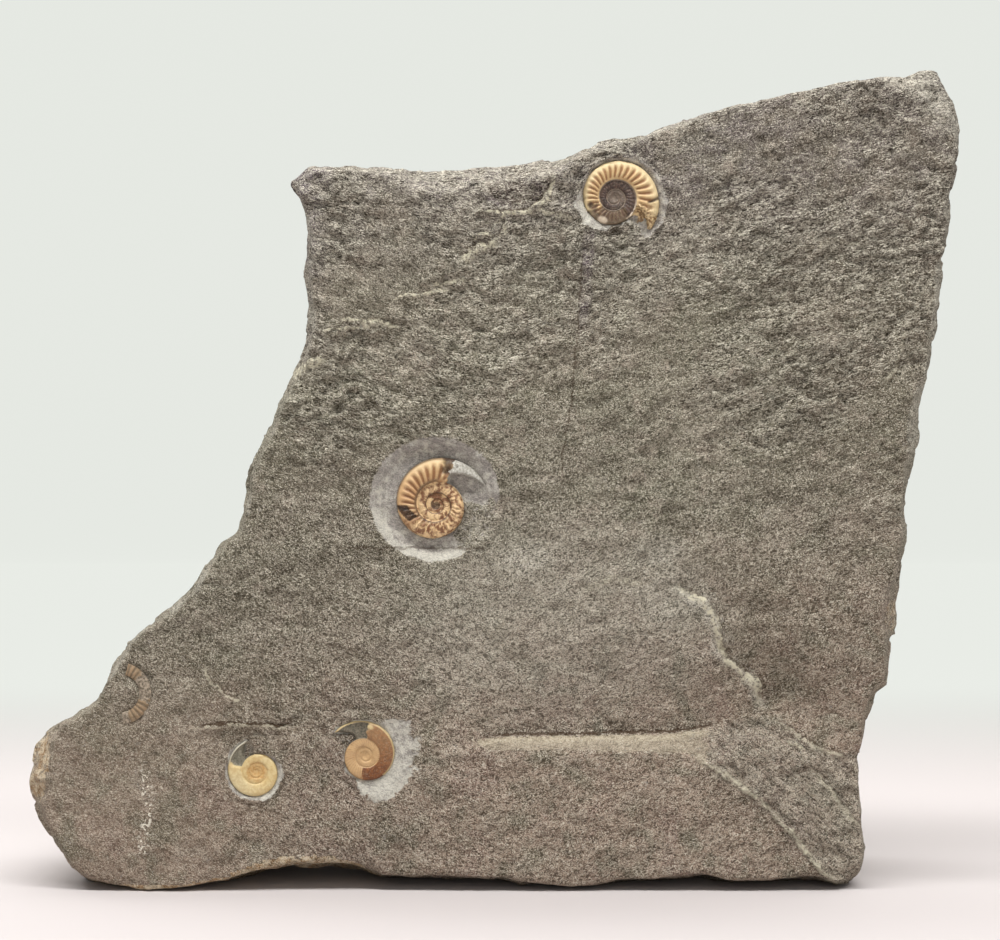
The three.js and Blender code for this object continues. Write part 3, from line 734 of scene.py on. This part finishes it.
def sculpt_brown(u, v, height, from_end, share, _groove):
    mottle = mottling(u, v, 1.1, 3, 65)
    chamber = 1 - ease(from_end + 0.01 * mottle, 0.16, 0.20)
    red = ease(from_end, 0.16, 0.20) * (1 - ease(from_end + 0.02 * mottle, 0.68, 0.70))
    wall = ease(share, 0.88, 0.96)
    height = height * (1 - chamber * (0.75 - 0.6 * wall)) + 0.03 * mottle
    rim = wall * (from_end < 0.55)
    # Painted highlight: a cream spot at the top of the whorl
    spot = 1 - ease(np.hypot((from_end - 0.185) / 0.035, (share - 0.72) / 0.2), 0.5, 1.0)
    lines = 0.5 + 0.5 * np.cos(2 * math.pi * 40 * (from_end + 0.03 * share))
    deep = 0.6 + 0.4 * ease(from_end, 0.2, 0.6)
    masks = {
        "groove": 0.45 * lines + 0.25 * ease(mottle, 0, 0.5),
        "dark": red * (1 - rim) * (1 - 0.6 * spot) * deep,
        "broken": 0 * u,
        "cream": np.maximum(0.75 * rim, 0.6 * spot),
        "stone": chamber * (1 - wall),
        "rim": 0 * u,
    }
    return np.maximum(height, 0.0), masks


# Material tools
class Shader:
    """A material whose nodes are made by short calls."""

    def __init__(self, name):
        self.material = bpy.data.materials.new(name)
        self.material.use_nodes = True
        self.tree = self.material.node_tree
        self.principled = self.tree.nodes["Principled BSDF"]
        coords = self.tree.nodes.new("ShaderNodeTexCoord").outputs["Object"]
        scaled = self.node("ShaderNodeVectorMath", {0: coords, "Scale": 1 / MM}, operation="SCALE")
        self.place = scaled.outputs[0]

    def put(self, socket, value):
        if isinstance(value, bpy.types.NodeSocket):
            self.tree.links.new(value, socket)
        elif socket.type == "RGBA":
            socket.default_value = (*value, 1) if len(value) == 3 else value
        else:
            socket.default_value = value

    def node(self, kind, inputs=None, **settings):
        made = self.tree.nodes.new(kind)
        for key, value in settings.items():
            setattr(made, key, value)
        for key, value in (inputs or {}).items():
            self.put(made.inputs[key], value)
        return made

    def math(self, operation, a, b=0.0):
        return self.node("ShaderNodeMath", {0: a, 1: b}, operation=operation).outputs[0]

    def plus(self, a, b):
        return self.math("ADD", a, b)

    def minus(self, a, b):
        return self.math("SUBTRACT", a, b)

    def times(self, a, b):
        return self.math("MULTIPLY", a, b)

    def larger(self, a, b):
        return self.math("MAXIMUM", a, b)

    def apart(self, a, b):
        """How far one value is from another."""
        return self.math("ABSOLUTE", self.minus(a, b))

    def ramp(self, value, low, high, to_low=0.0, to_high=1.0):
        inputs = {"Value": value, "From Min": low, "From Max": high, "To Min": to_low, "To Max": to_high}
        return self.node("ShaderNodeMapRange", inputs, interpolation_type="SMOOTHSTEP").outputs[0]

    def mix(self, share, a, b):
        made = self.node("ShaderNodeMix", data_type="RGBA")
        self.put(made.inputs[0], share)
        self.put(made.inputs[6], a)
        self.put(made.inputs[7], b)
        return made.outputs[2]

    def mask(self, name):
        return self.node("ShaderNodeAttribute", attribute_name=name).outputs["Fac"]

    def noise(self, size, detail=2.0, roughness=0.5, distortion=0.0, place=None):
        inputs = {"Vector": place or self.place, "Scale": 1 / size, "Detail": detail, "Roughness": roughness,
                  "Distortion": distortion}
        return self.node("ShaderNodeTexNoise", inputs).outputs["Fac"]

    def stretched(self, scale, turn=0.0, place=None):
        inputs = {"Vector": place or self.place, "Scale": scale, "Rotation": (0, turn, 0)}
        return self.node("ShaderNodeMapping", inputs, vector_type="TEXTURE").outputs[0]

    def bump(self, height, strength, distance_mm, normal=None):
        inputs = {"Height": height, "Strength": strength, "Distance": distance_mm * MM}
        made = self.node("ShaderNodeBump", inputs)
        if normal is not None:
            self.put(made.inputs["Normal"], normal)
        return made.outputs[0]

    def finish(self, color, roughness, normal, specular):
        self.put(self.principled.inputs["Base Color"], color)
        self.put(self.principled.inputs["Roughness"], roughness)
        self.put(self.principled.inputs["Normal"], normal)
        self.put(self.principled.inputs["Specular IOR Level"], specular)
        return self.material


def srgb(*levels):
    return tuple((v / 255 / 12.92) if v <= 10 else ((v / 255 + 0.055) / 1.055) ** 2.4 for v in levels)


# Tones of the stone, as red, green and blue levels out of 255
STONE_TONES = {
    "grey": (124, 119, 101), "light_grey": (142, 133, 117), "warm": (168, 144, 126),
    "green": (114, 112, 92), "pink": (156, 131, 117), "brown": (112, 106, 88), "light": (168, 154, 138),
    "purple": (126, 113, 122), "dark": (88, 74, 60), "pale": (200, 194, 180), "crust": (170, 132, 88),
    # The paler crust tone is the crust's own pale beige, made lighter still as painted bounce light from the
    # floor
    "bounce_lit_crust": (224, 204, 172), "facet_light": (184, 171, 152), "facet_dark": (98, 88, 74),
    # The ledge tones below are painted highlight on the ledge's up-facing strip
    "lit_ledge": (146, 134, 115), "brighter_lit_ledge": (172, 159, 139), "ledge_crown_highlight": (198, 185, 160),
    # The two speck tones are partly the stone's grain and partly painted light and painted shade on its fine
    # hackle
    "powder": (154, 148, 142), "white_powder": (200, 196, 184), "speck_and_painted_light": (208, 201, 184),
    # The lip and crack tones are partly worn lips and cracks, partly painted highlight and painted shadow at
    # small steps
    "speck_and_painted_shade": (56, 50, 40), "thread": (206, 199, 180), "lip_and_highlight": (212, 204, 180), "crack_and_shadow": (70, 52, 36),
    "fleck": (228, 222, 206),
}


def stone_material():
    s = Shader("limestone")
    tone = {key: srgb(*levels) for key, levels in STONE_TONES.items()}
    fine = s.noise(0.3, 1, 0.5, 0.3)
    grain = s.noise(1.7, 3, 0.6, 0.8)
    fan = s.node("ShaderNodeCombineXYZ", {"Z": s.mask("fan")}).outputs[0]
    swept = s.node("ShaderNodeVectorMath", {0: s.place, 1: fan}, operation="SUBTRACT").outputs[0]
    worm = s.noise(0.9, 2, 0.6, 1.2, s.stretched((1.3, 1, 0.8), 0.0, swept))
    thin = s.minus(0.615, s.times(s.apart(worm, 0.5), 2.3))
    wrinkle = s.noise(0.62, 2, 0.6, 1.5, s.stretched((2.2, 1, 0.8), 0.0, swept))
    crease = s.apart(s.noise(1.9, 3, 0.6, 0.9, s.stretched((2.1, 1, 0.8), 0.0, swept)), 0.5)
    streaks = s.noise(1.2, 3, 0.6, 0.5, s.stretched((8, 1, 1), 0.7))
    cloud = s.noise(30, 3, 0.55)
    spots = s.noise(7, 3, 0.6)

    base = s.mix(s.ramp(cloud, 0.35, 0.65), tone["grey"], tone["light_grey"])
    base = s.mix(s.times(s.mask("warm"), 0.8), base, tone["warm"])
    tint = s.noise(15, 2, 0.6, 0.5)
    base = s.mix(s.ramp(tint, 0.52, 0.68, 0.0, 0.6), base, tone["green"])
    base = s.mix(s.times(s.mask("warm"), s.ramp(tint, 0.48, 0.34, 0.0, 0.8)), base, tone["pink"])
    base = s.mix(s.ramp(spots, 0.5, 0.72, 0.0, 0.7), base, tone["brown"])
    base = s.mix(s.ramp(spots, 0.48, 0.28, 0.0, 0.6), base, tone["light"])
    base = s.mix(s.times(s.mask("purple"), s.ramp(spots, 0.35, 0.65, 0.3, 1.0)), base, tone["purple"])
    base = s.mix(s.mask("dark"), base, tone["dark"])
    base = s.mix(s.times(s.mask("pale"), s.ramp(grain, 0.3, 0.6, 0.45, 1.0)), base, tone["pale"])
    crusted = s.plus(s.mask("tan"), s.plus(grain, s.times(spots, 0.8)))
    # Partly painted light: the crust mixes its own tone with a tone lightened for bounce light under the edge
    crust = s.mix(s.ramp(s.noise(2.2, 3, 0.65), 0.4, 0.6), tone["crust"], tone["bounce_lit_crust"])
    base = s.mix(s.ramp(crusted, 1.3, 1.55, 0.0, 0.85), base, crust)
    base = s.mix(s.times(s.mask("facet"), s.ramp(streaks, 0.46, 0.62, 0.0, 0.75)), base, tone["facet_light"])
    base = s.mix(s.times(s.mask("facet"), s.ramp(streaks, 0.5, 0.36, 0.0, 0.65)), base, tone["facet_dark"])
    ragged = s.times(s.minus(grain, 0.5), 2.6)
    # Painted highlight: the ledge's up-facing strip is painted lighter than the stone, lightest along its top
    # edge
    strip = s.ramp(s.plus(s.mask("strip"), ragged), -0.15, 0.3)
    lit_ledge = s.mix(s.ramp(spots, 0.35, 0.65), tone["lit_ledge"], tone["brighter_lit_ledge"])
    base = s.mix(s.times(strip, 0.85), base, lit_ledge)
    ledge_crown_highlight = s.times(strip, s.ramp(s.plus(s.mask("ledge_crown_highlight"), ragged), 2.6, 0.6))
    base = s.mix(s.times(ledge_crown_highlight, 0.65), base, tone["ledge_crown_highlight"])
    halo = s.ramp(s.plus(s.mask("halo"), s.times(s.minus(grain, 0.5), 1.1)), 0.1, 0.4)
    dusted = s.plus(s.noise(2.4, 3, 0.6), s.times(s.mask("white"), 0.3))
    powder = s.mix(s.ramp(dusted, 0.42, 0.72), tone["powder"], tone["white_powder"])
    base = s.mix(halo, base, powder)

    # Salt and pepper grain: pale and dark specks of the stone, and painted light and shade on the small hackle
    # facets, strongest where the hackle is
    hackle = s.ramp(s.mask("hackle"), 0.35, 0.8)
    stroke = s.plus(s.times(thin, s.minus(1.0, hackle)), s.times(wrinkle, hackle))
    speck = s.plus(s.times(fine, 0.3), s.times(stroke, 0.7))
    even = s.larger(s.larger(halo, s.times(strip, 0.7)), s.times(s.mask("quiet"), 0.5))
    calm = s.minus(1.0, s.times(even, 0.6))
    firm = s.times(calm, s.ramp(s.mask("hackle"), 0.3, 0.8, 1.05, 1.1))
    light = s.times(s.ramp(speck, 0.51, 0.6), firm)
    shade = s.times(s.ramp(speck, 0.5, 0.4), s.times(firm, s.ramp(hackle, 0.0, 1.0, 0.7, 1.0)))
    base = s.mix(light, base, tone["speck_and_painted_light"])
    base = s.mix(shade, base, tone["speck_and_painted_shade"])

    thread = s.times(s.ramp(crease, 0.03, 0.005), s.times(hackle, calm))
    thread = s.times(thread, s.ramp(spots, 0.4, 0.6, 0.15, 0.6))
    base = s.mix(thread, base, tone["thread"])

    # Thin cracks with pale lips, the dark lines partly painted shadow and the lips partly painted highlight at
    # small steps, and white flecks of shell
    wander = s.plus(s.times(s.minus(grain, 0.5), 2.4),
                    s.times(s.minus(worm, 0.5), 0.7))
    seam = s.plus(s.mask("seam"), wander)
    # Painted highlight and shadow: a pale lip on each step's raised side and a dark line beside it, partly
    # real lip and crack
    lip_and_highlight = s.times(s.ramp(seam, -1.4, -0.7), s.ramp(seam, 0.2, -0.1))
    broken = s.ramp(s.noise(1.4, 3, 0.6), 0.4, 0.56, 0.1, 1.0)
    lip_and_highlight = s.times(lip_and_highlight, s.times(s.mask("seam_lip_and_highlight"), broken))
    base = s.mix(lip_and_highlight, base, tone["lip_and_highlight"])
    line = s.ramp(s.apart(seam, 0.25), 0.15, 0.5, 1.0, 0.0)
    line = s.times(line, s.mask("seam_crack_and_shadow"))
    base = s.mix(line, base, tone["crack_and_shadow"])
    fleck = s.times(s.mask("flecks"), s.ramp(s.noise(0.9, 2, 0.5), 0.56, 0.62))
    base = s.mix(fleck, base, tone["fleck"])

    height = s.plus(s.times(speck, 0.8), s.times(grain, 0.6))
    height = s.times(height, s.plus(s.times(calm, 0.8), 0.2))
    height = s.plus(height, s.times(s.times(streaks, 2.5), s.mask("facet")))
    height = s.minus(height, s.times(s.times(crease, 3.0), s.times(hackle, calm)))
    normal = s.bump(height, 1.0, 0.8)
    normal = s.bump(s.minus(lip_and_highlight, line), 0.5, 0.35, normal)
    return s.finish(base, s.ramp(grain, 0.3, 0.7, 0.85, 1.0), normal, specular=0.2)


def shell_material(name, gloss, blotch_mm=0.9, **levels):
    """A satin calcite shell: ribs, dark whorls, broken patches and grey stone by the piece's point values."""
    s = Shader(name)
    tone = {key: srgb(*value) for key, value in levels.items()}
    fine = s.noise(0.35, 3, 0.6)
    blotch = s.noise(blotch_mm, 2, 0.55, 0.4)
    soft = s.noise(3.0, 3, 0.55)
    # The rim mask lightens the outer part of a whorl; on the top coil this is painted highlight on its rounded
    # shoulder
    color = s.mix(s.times(s.mask("rim"), 0.8), tone["body"], tone["rim"])
    color = s.mix(s.ramp(soft, 0.4, 0.7, 0.0, 0.5), color, tone["rim"])
    color = s.mix(s.ramp(s.mask("groove"), 0.15, 0.95), color, tone["groove"])
    patches = s.mix(s.ramp(blotch, 0.38, 0.62), tone["mottle_a"], tone["mottle_b"])
    color = s.mix(s.mask("broken"), color, patches)
    deep = s.mix(s.ramp(blotch, 0.35, 0.65), tone["dark"], tone["dark_2"])
    color = s.mix(s.mask("dark"), color, deep)
    color = s.mix(s.mask("cream"), color, tone["cream"])
    grey = s.mix(s.ramp(s.noise(0.6, 3, 0.65), 0.35, 0.65), tone["stone_a"], tone["stone_b"])
    stone = s.ramp(s.plus(s.mask("stone"), s.times(s.minus(blotch, 0.5), 0.4)), 0.35, 0.65)
    color = s.mix(stone, color, grey)
    color = s.mix(s.ramp(fine, 0.5, 0.75, 0.0, 0.18), color, srgb(240, 228, 200))
    rough = s.plus(s.ramp(blotch, 0.3, 0.7, gloss, gloss + 0.15), s.times(stone, 0.35))
    normal = s.bump(s.plus(blotch, s.times(fine, 0.5)), 0.4, 0.25)
    return s.finish(color, rough, normal, specular=0.4)


# The worn whorl at the left edge
def worn_arc(material):
    name = "ammonite_worn_edge"
    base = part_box(name)[1].y / MM
    at = (-109.6, 57.4)
    inner = 5.5
    outer = 9.0
    ribs = 15
    crest = 0.7
    around = 160
    across = 14
    angle = np.radians(np.linspace(-85, 75, around + 1))[:, None]
    share = np.linspace(0, 1, across + 1)[None, :]
    degrees = np.degrees(angle) + 0 * share
    spread = inner + 3.4 * share
    mottle = mottling(np.cos(angle) * spread, np.sin(angle) * spread, 1.2, 3, 85)
    uneven = degrees + 8 * mottle
    shown = np.maximum(ease(uneven, 34, 48), band(uneven, -78, -62, -20, -6))
    rib = 0.5 + 0.5 * np.cos(2 * math.pi * ribs * (degrees + 85) / 160)
    body = np.maximum(np.sin(math.pi * share), 0) ** 0.7
    ends = band(degrees, -85, -78, 68, 75)
    raised = 0.2 + 0.7 * crest * (0.35 + 0.35 * rib) * (0.35 + 0.65 * shown)
    height = PLUG - 0.25 + ends * body * raised + 0.06 * mottle
    radius = inner + (outer - inner) * share + 0 * angle
    top = np.stack([at[0] + radius * np.cos(angle), base - height, at[1] + radius * np.sin(angle)], axis=-1)
    under = top.copy()
    under[..., 1] = base
    count = (around + 1) * (across + 1)
    number = np.arange(count).reshape(around + 1, across + 1)
    faces = []
    for k in range(around):
        for j in range(across):
            a, b, c, d = number[k, j], number[k, j + 1], number[k + 1, j + 1], number[k + 1, j]
            faces += [[a, b, c, d], [a + count, d + count, c + count, b + count]]
    edge = [*number[0, :], *number[1:, -1], *number[-1, -2::-1], *number[-2:0:-1, 0]]
    for a, b in zip(edge, edge[1:] + edge[:1]):
        faces.append([b, a, a + count, b + count])
    points = np.concatenate([top.reshape(-1, 3), under.reshape(-1, 3)])
    values = {
        "groove": 0.8 * (1 - rib) * shown,
        "dark": 0 * rib,
        "broken": 0 * rib,
        "cream": 0.3 * ease(share, 0.88, 1) * shown,
        "stone": 1 - 0.7 * shown,
        "rim": 0 * rib,
    }
    masks = {key: np.tile(value.ravel(), 2) for key, value in values.items()}
    obj = make_object(name + "_shell", points, [[int(k) for k in face] for face in faces], masks)
    obj.data.materials.append(material)
    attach(obj, "root")
    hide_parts(name)
    return obj


# Pieces
slab = stone()
slab.data.materials.append(stone_material())
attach(slab, "root")
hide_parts("stone_slab")

gold = shell_material(
    "golden_shell", body=(204, 170, 122), groove=(150, 110, 72), rim=(218, 198, 154),
    dark=(54, 39, 33), dark_2=(86, 66, 56), mottle_a=(124, 92, 54), mottle_b=(222, 196, 150),
    cream=(226, 208, 184), stone_a=(112, 104, 92), stone_b=(164, 154, 138), gloss=0.48)
tan_shell = shell_material(
    "tan_shell", body=(190, 149, 104), groove=(140, 98, 62), rim=(216, 188, 142),
    dark=(50, 32, 18), dark_2=(84, 58, 36), mottle_a=(124, 82, 52), mottle_b=(220, 188, 142),
    cream=(226, 208, 180), stone_a=(140, 136, 126), stone_b=(190, 186, 176), gloss=0.42, blotch_mm=1.6)
cream_shell = shell_material(
    "cream_shell", body=(202, 177, 124), groove=(184, 140, 82), rim=(208, 196, 158),
    dark=(150, 96, 40), dark_2=(190, 130, 60), mottle_a=(196, 158, 98), mottle_b=(226, 206, 152),
    cream=(196, 190, 174), stone_a=(92, 88, 74), stone_b=(128, 122, 106), gloss=0.38)
brown_shell = shell_material(
    "brown_shell", body=(186, 151, 108), groove=(158, 120, 80), rim=(206, 170, 120),
    dark=(98, 56, 26), dark_2=(128, 76, 36), mottle_a=(150, 100, 56), mottle_b=(220, 180, 120),
    cream=(214, 198, 150), stone_a=(84, 80, 68), stone_b=(122, 114, 98), gloss=0.36)
worn_shell = shell_material(
    "worn_shell", body=(142, 121, 94), groove=(102, 86, 66), rim=(158, 128, 98),
    dark=(100, 70, 50), dark_2=(120, 90, 60), mottle_a=(120, 90, 64), mottle_b=(160, 130, 96),
    cream=(190, 172, 146), stone_a=(96, 86, 72), stone_b=(168, 154, 136), gloss=0.65)

coil_object("ammonite_top", gold, sculpt_top)
coil_object("ammonite_middle", tan_shell, sculpt_middle)
coil_object("ammonite_lower_left", cream_shell, sculpt_cream)
coil_object("ammonite_lower_middle", brown_shell, sculpt_brown)
worn_arc(worn_shell)


# Stage, light and camera
def sweep(name, profile, half_width, material):
    points, faces = [], []
    for k, (y, z) in enumerate(profile):
        points += [(-half_width, y, z), (half_width, y, z)]
        if k:
            faces.append([2 * k - 2, 2 * k - 1, 2 * k + 1, 2 * k])
    obj = make_object(name, points, faces, {})
    obj.data.materials.append(material)


def paper(name):
    """Plain paper: faintly pink where the slab stands, and evenly bright further back."""
    s = Shader(name)
    back = s.ramp(s.node("ShaderNodeSeparateXYZ", {0: s.place}).outputs["Y"], 150, 600)
    s.put(s.principled.inputs["Base Color"], s.mix(back, (0.56, 0.516, 0.505), (0.02, 0.02, 0.02)))
    s.put(s.principled.inputs["Emission Color"], srgb(228, 231, 225))
    s.put(s.principled.inputs["Emission Strength"], back)
    s.principled.inputs["Roughness"].default_value = 0.9
    s.principled.inputs["Specular IOR Level"].default_value = 0.1
    return s.material


BEND_AT = 2200
BEND = 400
bend = [(BEND_AT + BEND * math.sin(a), BEND - BEND * math.cos(a)) for a in np.linspace(0, math.pi / 2, 20)]
sweep("backdrop", [(-2500, 0), *bend, (BEND_AT + BEND, 3500)], 5000, paper("backdrop_paper"))


def area_light(name, place, aim, size, power):
    light = bpy.data.lights.new(name, "AREA")
    light.shape = "RECTANGLE"
    light.size, light.size_y = size[0] * MM, size[1] * MM
    light.energy = power
    obj = bpy.data.objects.new(name, light)
    obj.location = Vector(place) * MM
    obj.rotation_euler = (Vector(aim) - Vector(place)).to_track_quat("-Z", "Y").to_euler()
    bpy.context.scene.collection.objects.link(obj)


area_light("top_light", (-60, -330, 900), (0, -60, 110), (1500, 160), 13.3)
area_light("front_light", (150, -1100, 400), (0, 0, 110), (900, 700), 2.1)
area_light("wall_light", (0, 170, 700), (0, 170, 0), (1700, 260), 5.0)
world = bpy.data.worlds.new("room")
world.use_nodes = True
world.node_tree.nodes["Background"].inputs["Color"].default_value = (0.97, 1.0, 0.99, 1)
world.node_tree.nodes["Background"].inputs["Strength"].default_value = 0.245
bpy.context.scene.world = world

# The camera stands straight in front, and its picture is so wide, both in millimetres
DISTANCE = 650
SEEN_WIDTH = 293
SENSOR = 36
camera = bpy.data.cameras.new("camera")
camera.sensor_width = SENSOR
camera.lens = SENSOR * DISTANCE / SEEN_WIDTH
camera_object = bpy.data.objects.new("camera", camera)
camera_object.location = Vector((1.0, FACE_Y + 5 - DISTANCE, 122.5)) * MM
camera_object.rotation_euler = (math.pi / 2, 0, 0)
camera.clip_start, camera.clip_end = 0.01, 20
bpy.context.scene.collection.objects.link(camera_object)
bpy.context.scene.camera = camera_object
bpy.context.scene.view_settings.view_transform = "Standard"
